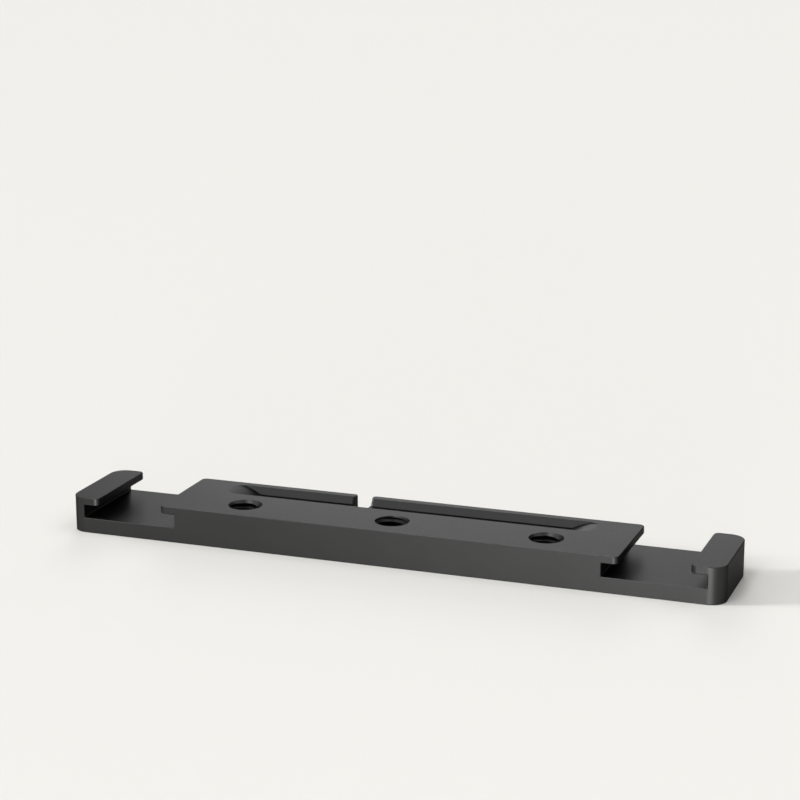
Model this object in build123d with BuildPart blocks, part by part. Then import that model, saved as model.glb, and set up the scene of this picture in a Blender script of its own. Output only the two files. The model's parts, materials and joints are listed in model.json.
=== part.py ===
"""A one-piece bar that joins two accessory cold shoes, machined from aluminium.

Millimetres, +Z up. X runs along the bar, Y from its front face to its back face,
and Z starts at the flat underside. The origin is under the middle of the bar.
"""
from build123d import *
import math
import os

# Outside of the bar
bar_length = 124.4
bar_depth = 19.4
bar_corner_radius = 3.0
edge_break = 0.1

# Cold shoe at each end: a T-shaped slot that runs from front to back
shoe_floor_thickness = 2.86
shoe_slot_width = 18.7
shoe_slot_height = 2.5
shoe_mouth_width = 12.65
shoe_lip_thickness = 1.39
shoe_end_wall = 2.9
slot_corner_radius = 0.3
lip_corner_radius = 1.0

# Row of tapped holes for 1/4 inch camera screws
screw_thread_diameter = 6.35
screw_hole_count = 3
screw_hole_spacing = 29.0
screw_hole_to_front = 6.2

# Long recess behind the holes, with a leaning rear wall and a rounded ramp at each end
recess_length = 72.2
recess_width = 5.7
recess_depth = 1.28
recess_rim_width = 1.6
recess_wall_lean = 32.0
recess_ramp_length = 5.4

# Notch that opens the recess to the back face
notch_width = 3.2
notch_offset = -9.98
notch_depth = 3.0
notch_reach = 5.0
notch_corner_radius = 0.53

# Places that follow from the sizes above
bar_height = shoe_floor_thickness + shoe_slot_height + shoe_lip_thickness
bar_back = bar_depth / 2
shoe_centre = bar_length / 2 - shoe_end_wall - shoe_slot_width / 2
slot_middle_height = shoe_floor_thickness + shoe_slot_height / 2
slot_walls = (shoe_centre - shoe_slot_width / 2, shoe_centre + shoe_slot_width / 2)
mouth_sides = (shoe_centre - shoe_mouth_width / 2, shoe_centre + shoe_mouth_width / 2)
screw_hole_row = screw_hole_to_front - bar_back
recess_rear = bar_back - recess_rim_width
recess_centre = recess_rear - recess_width / 2
recess_floor = bar_height - recess_depth
recess_lean_run = recess_depth * math.tan(math.radians(recess_wall_lean))
recess_tip = recess_length / 2
ramp_foot = recess_tip - recess_ramp_length
notch_sides = (notch_offset - notch_width / 2, notch_offset + notch_width / 2)
notch_rounding = min(notch_corner_radius, recess_rim_width / 3)
cut_margin = 2.0
same_place = 0.01


def stands(edge):
    """An edge that rises, upright or leaning."""
    return abs(edge.tangent_at(0.5).Z) > 0.5


def at_one_of(place, places):
    """A place along or above the bar that is one of the places listed."""
    return any(abs(place - other) < same_place for other in places)


# What the recess takes away: its cross-section, its long profile and its outline in plan
with BuildPart() as recess_cut:
    with BuildSketch(Plane.YZ):
        with BuildLine():
            Polyline(
                (recess_rear - recess_width, recess_floor),
                (recess_rear - recess_lean_run, recess_floor),
                (recess_rear, bar_height),
                (recess_rear, bar_height + cut_margin),
                (recess_rear - recess_width, bar_height + cut_margin),
                close=True,
            )
        make_face()
    extrude(amount=recess_tip, both=True)
    with BuildSketch(Plane.XZ):
        with BuildLine():
            Line((-ramp_foot, recess_floor), (ramp_foot, recess_floor))
            ramp = TangentArc((recess_tip, bar_height), (ramp_foot, recess_floor), tangent=(-1, 0))
            mirror(ramp, about=Plane.YZ)
            Polyline(
                (recess_tip, bar_height),
                (recess_tip, bar_height + cut_margin),
                (-recess_tip, bar_height + cut_margin),
                (-recess_tip, bar_height),
            )
        make_face()
    extrude(amount=bar_depth, both=True, mode=Mode.INTERSECT)
    with BuildSketch(Plane.XY.offset(recess_floor)):
        with Locations((0, recess_centre)):
            SlotOverall(recess_length, recess_width)
    extrude(amount=recess_depth + cut_margin, mode=Mode.INTERSECT)


with BuildPart() as shoe_bar:
    # Bar stock with large corner radii in plan
    with BuildSketch():
        RectangleRounded(bar_length, bar_depth, bar_corner_radius)
    extrude(amount=bar_height)

    # T-slot of each cold shoe, cut right through from front to back
    with BuildSketch(Plane.XZ):
        with Locations((shoe_centre, slot_middle_height), (-shoe_centre, slot_middle_height)):
            Rectangle(shoe_slot_width, shoe_slot_height)
            Rectangle(shoe_mouth_width, bar_height, align=(Align.CENTER, Align.MIN))
    extrude(amount=bar_depth, both=True, mode=Mode.SUBTRACT)

    # Upright corners of the four lips
    lip_corners = [
        edge
        for edge in shoe_bar.edges().filter_by(Axis.Z)
        if at_one_of(abs(edge.center().X), mouth_sides)
    ]
    fillet(lip_corners, lip_corner_radius)

    # Small break on every outside edge that is still sharp
    sharp_edges = [
        edge
        for edge in shoe_bar.edges()
        if not edge.is_interior
        and (not stands(edge) or at_one_of(abs(edge.center().X), slot_walls))
    ]
    chamfer(sharp_edges, edge_break)

    # Corners between each slot's floor and its two walls
    slot_corners = [
        edge
        for edge in shoe_bar.edges().filter_by(Axis.Y)
        if at_one_of(abs(edge.center().X), slot_walls) and at_one_of(edge.center().Z, [shoe_floor_thickness])
    ]
    fillet(slot_corners, slot_corner_radius)

    # Recess, and the notch that opens it to the back
    add(recess_cut.part, mode=Mode.SUBTRACT)
    with BuildSketch(Plane.XY.offset(bar_height)):
        with Locations((notch_offset, bar_back - notch_reach + notch_width / 2)):
            Circle(notch_width / 2)
            Rectangle(notch_width, bar_depth, align=(Align.CENTER, Align.MIN))
    extrude(amount=-notch_depth, mode=Mode.SUBTRACT)
    notch_corners = [
        edge
        for edge in shoe_bar.edges()
        if stands(edge)
        and at_one_of(edge.center().X, notch_sides)
        and edge.center().Y > recess_rear - recess_lean_run
    ]
    fillet(notch_corners, notch_rounding)

    # Tapped holes, bored to the outside diameter of the thread
    with Locations((0, screw_hole_row, bar_height)):
        with GridLocations(screw_hole_spacing, 1, screw_hole_count, 1):
            Hole(screw_thread_diameter / 2)

shoe_bar.part.label = "shoe_bar"

os.makedirs("parts", exist_ok=True)
export_step(shoe_bar.part, "parts/shoe_bar.step")
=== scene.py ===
import json
import math

import bpy
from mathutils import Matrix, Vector


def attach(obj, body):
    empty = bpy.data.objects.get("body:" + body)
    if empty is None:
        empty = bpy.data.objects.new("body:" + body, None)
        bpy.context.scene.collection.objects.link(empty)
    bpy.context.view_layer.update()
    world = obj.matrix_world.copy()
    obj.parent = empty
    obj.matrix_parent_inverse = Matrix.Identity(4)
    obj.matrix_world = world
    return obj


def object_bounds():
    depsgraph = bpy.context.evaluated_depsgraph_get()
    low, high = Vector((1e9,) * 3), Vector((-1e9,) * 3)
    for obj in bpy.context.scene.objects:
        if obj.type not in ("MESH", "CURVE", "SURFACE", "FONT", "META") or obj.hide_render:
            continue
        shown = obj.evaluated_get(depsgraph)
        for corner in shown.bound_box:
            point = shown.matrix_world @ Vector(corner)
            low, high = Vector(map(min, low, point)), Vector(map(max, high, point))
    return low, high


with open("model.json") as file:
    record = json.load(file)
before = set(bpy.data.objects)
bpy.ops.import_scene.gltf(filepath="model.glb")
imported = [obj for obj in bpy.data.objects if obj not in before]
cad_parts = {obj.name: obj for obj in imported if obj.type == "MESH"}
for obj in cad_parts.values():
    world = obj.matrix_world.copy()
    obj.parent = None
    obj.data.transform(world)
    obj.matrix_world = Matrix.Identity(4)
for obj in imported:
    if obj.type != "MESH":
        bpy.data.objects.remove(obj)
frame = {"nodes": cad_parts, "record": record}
cad_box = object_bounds()


# The bar.
# One piece of aluminium plate, milled with a T-slot cold shoe across each end, a raised middle
# with three tapped holes, and a long recess behind them. It is bead-blasted and anodised black.

MM = 0.001


def linear(hex_colour):
    """Turns an sRGB hex colour into the linear RGBA that a shader socket takes."""
    channels = [int(hex_colour[i : i + 2], 16) / 255 for i in (1, 3, 5)]
    return [c / 12.92 if c <= 0.04045 else ((c + 0.055) / 1.055) ** 2.4 for c in channels] + [1.0]


def add_node(tree, kind, inputs=None, **settings):
    """Adds a node to a tree, sets it up, and fills its inputs with values or with sockets to link."""
    made = tree.nodes.new(kind)
    for name, value in settings.items():
        setattr(made, name, value)
    for key, value in (inputs or {}).items():
        if isinstance(value, bpy.types.NodeSocket):
            tree.links.new(value, made.inputs[key])
        else:
            made.inputs[key].default_value = value
    return made


# Black anodised aluminium, bead-blasted: a dyed oxide film over a finely pitted surface. It gives
# the eye a soft charcoal satin, which is a dim and blurred mirror of the room.
anodised = bpy.data.materials.new("black_anodised_bead_blasted_aluminium")
anodised.use_nodes = True
look = anodised.node_tree
finish = look.nodes["Principled BSDF"]
place = add_node(look, "ShaderNodeTexCoord")

# The blasting leaves pits of about 0.08 mm. Drawn at 0.3 mm, so that they show in the render.
drawn_pit_size = 0.3 * MM
pit_depth = 0.004 * MM
pits = add_node(
    look,
    "ShaderNodeTexNoise",
    {"Vector": place.outputs["Object"], "Scale": 1 / drawn_pit_size, "Detail": 2.0, "Roughness": 0.6},
)
pitted = add_node(
    look,
    "ShaderNodeBump",
    {"Height": pits.outputs["Fac"], "Strength": 0.25, "Distance": pit_depth},
)
look.links.new(pitted.outputs["Normal"], finish.inputs["Normal"])

# The dye takes a little unevenly, in clouds of about 9 mm.
cloud_size = 9.0 * MM
clouds = add_node(
    look,
    "ShaderNodeTexNoise",
    {"Vector": place.outputs["Object"], "Scale": 1 / cloud_size, "Detail": 3.0, "Roughness": 0.5},
)
dye = add_node(
    look,
    "ShaderNodeMix",
    {"Factor": clouds.outputs["Fac"], "A": linear("#363636"), "B": linear("#3A3A3A")},
    data_type="RGBA",
)
look.links.new(dye.outputs["Result"], finish.inputs["Base Color"])

# The satin is a little duller where the surface stands up between the pits.
satin = add_node(
    look,
    "ShaderNodeMapRange",
    {"Value": pits.outputs["Fac"], "From Min": 0.3, "From Max": 0.7, "To Min": 0.38, "To Max": 0.42},
)
look.links.new(satin.outputs["Result"], finish.inputs["Roughness"])

# Set up as a dark metal, because all the light it gives is mirrored. The tint keeps the mirror
# from growing too strong at low angles.
finish.inputs["Metallic"].default_value = 1.0
finish.inputs["Specular Tint"].default_value = (0.4, 0.4, 0.4, 1.0)

bar = frame["nodes"]["shoe_bar"]
bar.data.materials.clear()
bar.data.materials.append(anodised)


# The screw threads.
# Three holes tapped right through for a 1/4 inch camera screw, 20 turns to the inch, cut after a
# small countersink on each face and anodised with the bar. One sleeve of thread lines each bore.

screw_holes = [mount for mount in frame["record"]["mounts"] if mount["kind"] == "threaded_hole"]
screw_hole_places = [Vector(hole["pos_m"]) for hole in screw_holes]
bore_radius = screw_holes[0]["dims"]["r_mm"] * MM
bar_top = cad_box[1][2]
sleeve_end_gap = 0.01 * MM
sleeve_back_depth = 0.03 * MM

thread_tree = bpy.data.node_groups.new("screw_thread", "GeometryNodeTree")
thread_sizes = {
    "Turn Height": 1.27 * MM,
    "Outside Radius": bore_radius,
    "Inside Radius": 2.55 * MM,
    "Wall Radius": bore_radius + sleeve_back_depth,
    "Low End": sleeve_end_gap,
    "High End": bar_top - sleeve_end_gap,
    "Countersink Depth": 0.62 * MM,
    "First Hole Across": screw_hole_places[0].x,
    "Hole Row": screw_hole_places[0].y,
    "Hole Spacing": screw_hole_places[1].x - screw_hole_places[0].x,
    "Start Turn": 0.75,
    "Middle Start Turn": 0.35,
}
thread_tree.interface.new_socket("Geometry", in_out="OUTPUT", socket_type="NodeSocketGeometry")
for name in thread_sizes:
    thread_tree.interface.new_socket(name, in_out="INPUT", socket_type="NodeSocketFloat")
thread_tree.interface.new_socket("Finish", in_out="INPUT", socket_type="NodeSocketMaterial")
size = add_node(thread_tree, "NodeGroupInput").outputs

# A sheet of columns round the bore and rows up it. Sixteen rows make one turn, so that rows fall
# on the corners of the thread's shape. One row before the front rows and two after them make the
# sleeve's back.
columns = 120
rows_per_turn = 16
turns = math.ceil((bar_top - 2 * sleeve_end_gap) / thread_sizes["Turn Height"]) + 1
front_rows = rows_per_turn * turns + 1
back_rows = 3
rows = front_rows + back_rows
sheet = add_node(
    thread_tree,
    "GeometryNodeMeshGrid",
    {"Size X": 2 * math.pi, "Size Y": float(rows - 1), "Vertices X": columns + 1, "Vertices Y": rows},
)
sheet_place = add_node(thread_tree, "GeometryNodeInputPosition")
spot = add_node(thread_tree, "ShaderNodeSeparateXYZ", {"Vector": sheet_place.outputs[0]})
turn = add_node(
    thread_tree,
    "ShaderNodeMapRange",
    {"Value": spot.outputs["X"], "From Min": -math.pi, "From Max": math.pi, "To Min": 0.0, "To Max": 1.0},
)
row = add_node(thread_tree, "ShaderNodeMath", {0: spot.outputs["Y"], 1: (rows - 1) / 2}, operation="ADD")

# Each row climbs one turn as it goes round, and stops at the sleeve's ends. The front rows start
# one turn below the low end, so that they reach it all the way round.
row_climb = 1 / rows_per_turn
row_turn = add_node(
    thread_tree,
    "ShaderNodeMath",
    {0: row.outputs[0], 1: row_climb, 2: -1.0 - row_climb},
    operation="MULTIPLY_ADD",
)
climb = add_node(
    thread_tree,
    "ShaderNodeMath",
    {0: row_turn.outputs[0], 1: turn.outputs["Result"]},
    operation="ADD",
)
height = add_node(
    thread_tree,
    "ShaderNodeMath",
    {0: climb.outputs[0], 1: size["Turn Height"], 2: size["Low End"]},
    operation="MULTIPLY_ADD",
)
kept_height = add_node(
    thread_tree,
    "ShaderNodeClamp",
    {"Value": height.outputs[0], "Min": size["Low End"], "Max": size["High End"]},
)

# The thread's own shape: a flat crest, a sloping flank on each side of it, and a narrow root. The
# flank runs between two shares of a turn, counted from the crest's middle.
flank_start = 1 / 8
flank_end = 7 / 16
above_low_end = add_node(
    thread_tree,
    "ShaderNodeMath",
    {0: kept_height.outputs[0], 1: size["Low End"]},
    operation="SUBTRACT",
)
turns_up = add_node(
    thread_tree,
    "ShaderNodeMath",
    {0: above_low_end.outputs[0], 1: size["Turn Height"]},
    operation="DIVIDE",
)
shape_turn = add_node(
    thread_tree,
    "ShaderNodeMath",
    {0: turns_up.outputs[0], 1: turn.outputs["Result"]},
    operation="SUBTRACT",
)
share = add_node(thread_tree, "ShaderNodeMath", {0: shape_turn.outputs[0]}, operation="FRACT")
from_crest = add_node(thread_tree, "ShaderNodeMath", {0: share.outputs[0], 1: 0.5}, operation="SUBTRACT")
off_crest = add_node(thread_tree, "ShaderNodeMath", {0: from_crest.outputs[0]}, operation="ABSOLUTE")
thread_radius = add_node(
    thread_tree,
    "ShaderNodeMapRange",
    {
        "Value": off_crest.outputs[0],
        "From Min": flank_start,
        "From Max": flank_end,
        "To Min": size["Inside Radius"],
        "To Max": size["Outside Radius"],
    },
)

# The countersink cuts the thread back in a cone, at both ends of the hole.
below_high_end = add_node(
    thread_tree,
    "ShaderNodeMath",
    {0: size["High End"], 1: kept_height.outputs[0]},
    operation="SUBTRACT",
)
end_depth = add_node(
    thread_tree,
    "ShaderNodeMath",
    {0: above_low_end.outputs[0], 1: below_high_end.outputs[0]},
    operation="MINIMUM",
)
cone_radius = add_node(
    thread_tree,
    "ShaderNodeMapRange",
    {
        "Value": end_depth.outputs[0],
        "From Min": 0.0,
        "From Max": size["Countersink Depth"],
        "To Min": size["Outside Radius"],
        "To Max": size["Inside Radius"],
    },
)
cut_radius = add_node(
    thread_tree,
    "ShaderNodeMath",
    {0: thread_radius.outputs["Result"], 1: cone_radius.outputs["Result"]},
    operation="MAXIMUM",
)

# The first row and the last two are the sleeve's back, just inside the metal, which closes it. A
# row is told from the next by a limit halfway between the two.
is_first = add_node(
    thread_tree,
    "ShaderNodeMath",
    {0: row.outputs[0], 1: 0.5},
    operation="LESS_THAN",
)
is_late = add_node(
    thread_tree,
    "ShaderNodeMath",
    {0: row.outputs[0], 1: rows - 2.5},
    operation="GREATER_THAN",
)
is_last = add_node(
    thread_tree,
    "ShaderNodeMath",
    {0: row.outputs[0], 1: rows - 1.5},
    operation="GREATER_THAN",
)
is_back = add_node(
    thread_tree,
    "ShaderNodeMath",
    {0: is_first.outputs[0], 1: is_late.outputs[0]},
    operation="MAXIMUM",
)
is_back_foot = add_node(
    thread_tree,
    "ShaderNodeMath",
    {0: is_first.outputs[0], 1: is_last.outputs[0]},
    operation="MAXIMUM",
)
radius = add_node(
    thread_tree,
    "GeometryNodeSwitch",
    {"Switch": is_back.outputs[0], "False": cut_radius.outputs[0], "True": size["Wall Radius"]},
    input_type="FLOAT",
)
sleeve_height = add_node(
    thread_tree,
    "GeometryNodeSwitch",
    {"Switch": is_back_foot.outputs[0], "False": kept_height.outputs[0], "True": size["Low End"]},
    input_type="FLOAT",
)

# The sheet is rolled round the bore's axis, and points that meet are joined.
weld_distance = 0.002 * MM
angle = add_node(
    thread_tree,
    "ShaderNodeMath",
    {0: turn.outputs["Result"], 1: 2 * math.pi},
    operation="MULTIPLY",
)
cosine = add_node(thread_tree, "ShaderNodeMath", {0: angle.outputs[0]}, operation="COSINE")
sine = add_node(thread_tree, "ShaderNodeMath", {0: angle.outputs[0]}, operation="SINE")
outwards = add_node(
    thread_tree,
    "ShaderNodeCombineXYZ",
    {"X": cosine.outputs[0], "Y": sine.outputs[0]},
)
on_ring = add_node(
    thread_tree,
    "ShaderNodeVectorMath",
    {"Vector": outwards.outputs[0], "Scale": radius.outputs[0]},
    operation="SCALE",
)
lift = add_node(thread_tree, "ShaderNodeCombineXYZ", {"Z": sleeve_height.outputs[0]})
rolled_place = add_node(
    thread_tree,
    "ShaderNodeVectorMath",
    {0: on_ring.outputs[0], 1: lift.outputs[0]},
    operation="ADD",
)
rolled = add_node(
    thread_tree,
    "GeometryNodeSetPosition",
    {"Geometry": sheet.outputs["Mesh"], "Position": rolled_place.outputs[0]},
)
sleeve = add_node(
    thread_tree,
    "GeometryNodeMergeByDistance",
    {"Geometry": rolled.outputs[0], "Distance": weld_distance},
)

# Shaded round, with a crease wherever the thread's shape turns sharply.
crease_limit = math.radians(25.0)
crease_angle = add_node(thread_tree, "GeometryNodeInputMeshEdgeAngle")
is_crease = add_node(
    thread_tree,
    "ShaderNodeMath",
    {0: crease_angle.outputs["Unsigned Angle"], 1: crease_limit},
    operation="GREATER_THAN",
)
rounded = add_node(
    thread_tree,
    "GeometryNodeSetShadeSmooth",
    {"Geometry": sleeve.outputs["Geometry"], "Shade Smooth": True},
)
creased = add_node(
    thread_tree,
    "GeometryNodeSetShadeSmooth",
    {"Geometry": rounded.outputs["Geometry"], "Selection": is_crease.outputs[0], "Shade Smooth": False},
    domain="EDGE",
)

# The same sleeve in each of the three holes, numbered 0, 1 and 2 from the left. A tap starts where
# it likes, so the middle hole's thread is turned differently.
middle_hole = 1.0
number_margin = 0.1
first_hole = add_node(
    thread_tree,
    "ShaderNodeCombineXYZ",
    {"X": size["First Hole Across"], "Y": size["Hole Row"]},
)
to_next_hole = add_node(thread_tree, "ShaderNodeCombineXYZ", {"X": size["Hole Spacing"]})
holes = add_node(
    thread_tree,
    "GeometryNodeMeshLine",
    {
        "Count": len(screw_hole_places),
        "Start Location": first_hole.outputs[0],
        "Offset": to_next_hole.outputs[0],
    },
)
hole_number = add_node(thread_tree, "GeometryNodeInputIndex")
is_middle = add_node(
    thread_tree,
    "ShaderNodeMath",
    {0: hole_number.outputs[0], 1: middle_hole, 2: number_margin},
    operation="COMPARE",
)
start_turn = add_node(
    thread_tree,
    "GeometryNodeSwitch",
    {"Switch": is_middle.outputs[0], "False": size["Start Turn"], "True": size["Middle Start Turn"]},
    input_type="FLOAT",
)
start_angle = add_node(
    thread_tree,
    "ShaderNodeMath",
    {0: start_turn.outputs[0], 1: 2 * math.pi},
    operation="MULTIPLY",
)
start_rotation = add_node(thread_tree, "ShaderNodeCombineXYZ", {"Z": start_angle.outputs[0]})
in_holes = add_node(
    thread_tree,
    "GeometryNodeInstanceOnPoints",
    {
        "Points": holes.outputs["Mesh"],
        "Instance": creased.outputs["Geometry"],
        "Rotation": start_rotation.outputs[0],
    },
)
real_sleeves = add_node(thread_tree, "GeometryNodeRealizeInstances", {"Geometry": in_holes.outputs[0]})
finished = add_node(
    thread_tree,
    "GeometryNodeSetMaterial",
    {"Geometry": real_sleeves.outputs[0], "Material": size["Finish"]},
)
add_node(thread_tree, "NodeGroupOutput", {"Geometry": finished.outputs[0]})

threads = bpy.data.objects.new("screw_threads", bpy.data.meshes.new("screw_threads"))
bpy.context.scene.collection.objects.link(threads)
threading = threads.modifiers.new("screw_thread", "NODES")
threading.node_group = thread_tree
for item in thread_tree.interface.items_tree:
    if item.in_out == "INPUT":
        threading[item.identifier] = thread_sizes.get(item.name, anodised)
bpy.context.view_layer.update()
turned = threads.evaluated_get(bpy.context.evaluated_depsgraph_get())
threads.data = bpy.data.meshes.new_from_object(turned)
threads.modifiers.clear()
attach(threads, "root")


# The floor.
# A sheet of pale warm-grey card, wide enough to fill the view, that the bar lies on.

card = bpy.data.materials.new("pale_grey_card")
card.use_nodes = True
card_finish = card.node_tree.nodes["Principled BSDF"]
card_finish.inputs["Base Color"].default_value = linear("#DDDCD8")
card_finish.inputs["Roughness"].default_value = 0.9
card_finish.inputs["Specular IOR Level"].default_value = 0.0

floor_reach = 6.0
floor_corners = [(x * floor_reach, y * floor_reach, 0.0) for x, y in ((-1, -1), (1, -1), (1, 1), (-1, 1))]
floor_mesh = bpy.data.meshes.new("floor")
floor_mesh.from_pydata(floor_corners, [], [(0, 1, 2, 3)])
floor_mesh.materials.append(card)
floor = bpy.data.objects.new("floor", floor_mesh)
bpy.context.scene.collection.objects.link(floor)


# The light.
# Soft lamps a long way off, over a dim even room: a low key and a fill from the left, three high
# ones and two behind. Two low strips in front light the bar's right half more than its left.

room = bpy.data.worlds.new("studio")
room.use_nodes = True
room_glow = room.node_tree.nodes["Background"]
room_glow.inputs["Color"].default_value = linear("#FFFFFF")
room_glow.inputs["Strength"].default_value = 0.3
bpy.context.scene.world = room


def shine_from(lamp, source):
    """Puts a lamp in the scene, with its light coming from a direction."""
    lamp.rotation_euler = source.to_track_quat("Z", "Y").to_euler()
    bpy.context.scene.collection.objects.link(lamp)


for lamp_name, towards_degrees, height_degrees, width_degrees, strength in (
    ("left_key", 200.0, 16.0, 12.0, 3.0),
    ("left_softbox", 185.0, 40.0, 28.0, 0.3),
    ("front_left_softbox", 230.0, 68.0, 24.0, 0.85),
    ("front_softbox", 252.0, 50.0, 28.0, 0.29),
    ("high_right_softbox", 20.0, 60.0, 40.0, 0.5),
    ("low_back_softbox", 105.0, 8.0, 28.0, 1.2),
    ("back_softbox", 110.0, 22.0, 28.0, 0.62),
):
    lamp = bpy.data.objects.new(lamp_name, bpy.data.lights.new(lamp_name, "SUN"))
    lamp.data.energy = strength
    lamp.data.angle = math.radians(width_degrees)
    around = math.radians(towards_degrees)
    up = math.radians(height_degrees)
    source = Vector((math.cos(around) * math.cos(up), math.sin(around) * math.cos(up), math.sin(up)))
    shine_from(lamp, source)

strip_length = 0.24
strip_width = 0.02
strip_distance = 0.7
strip_height = 0.012
strip_target = Vector((0.03, 0.0, 0.003))
for strip_name, across, watts in (("middle_strip", 0.05, 2.3), ("right_strip", 0.2, 5.2)):
    strip = bpy.data.objects.new(strip_name, bpy.data.lights.new(strip_name, "AREA"))
    strip.data.shape = "RECTANGLE"
    strip.data.size = strip_length
    strip.data.size_y = strip_width
    strip.data.energy = watts
    strip.visible_camera = False
    strip.location = (across, -strip_distance, strip_height)
    shine_from(strip, strip.location - strip_target)

bpy.context.scene.view_settings.view_transform = "Standard"


# The camera.
# A long lens, low and a little to the right of the bar's front.

camera = bpy.data.objects.new("camera", bpy.data.cameras.new("camera"))
camera.data.sensor_width = 36.0
camera.data.lens = 99.172
camera.data.clip_start = 0.01
camera.location = (0.132163, -0.359739, 0.128462)
camera.rotation_euler = (math.radians(75.378), math.radians(0.132), math.radians(20.098))
bpy.context.scene.collection.objects.link(camera)
bpy.context.scene.camera = camera
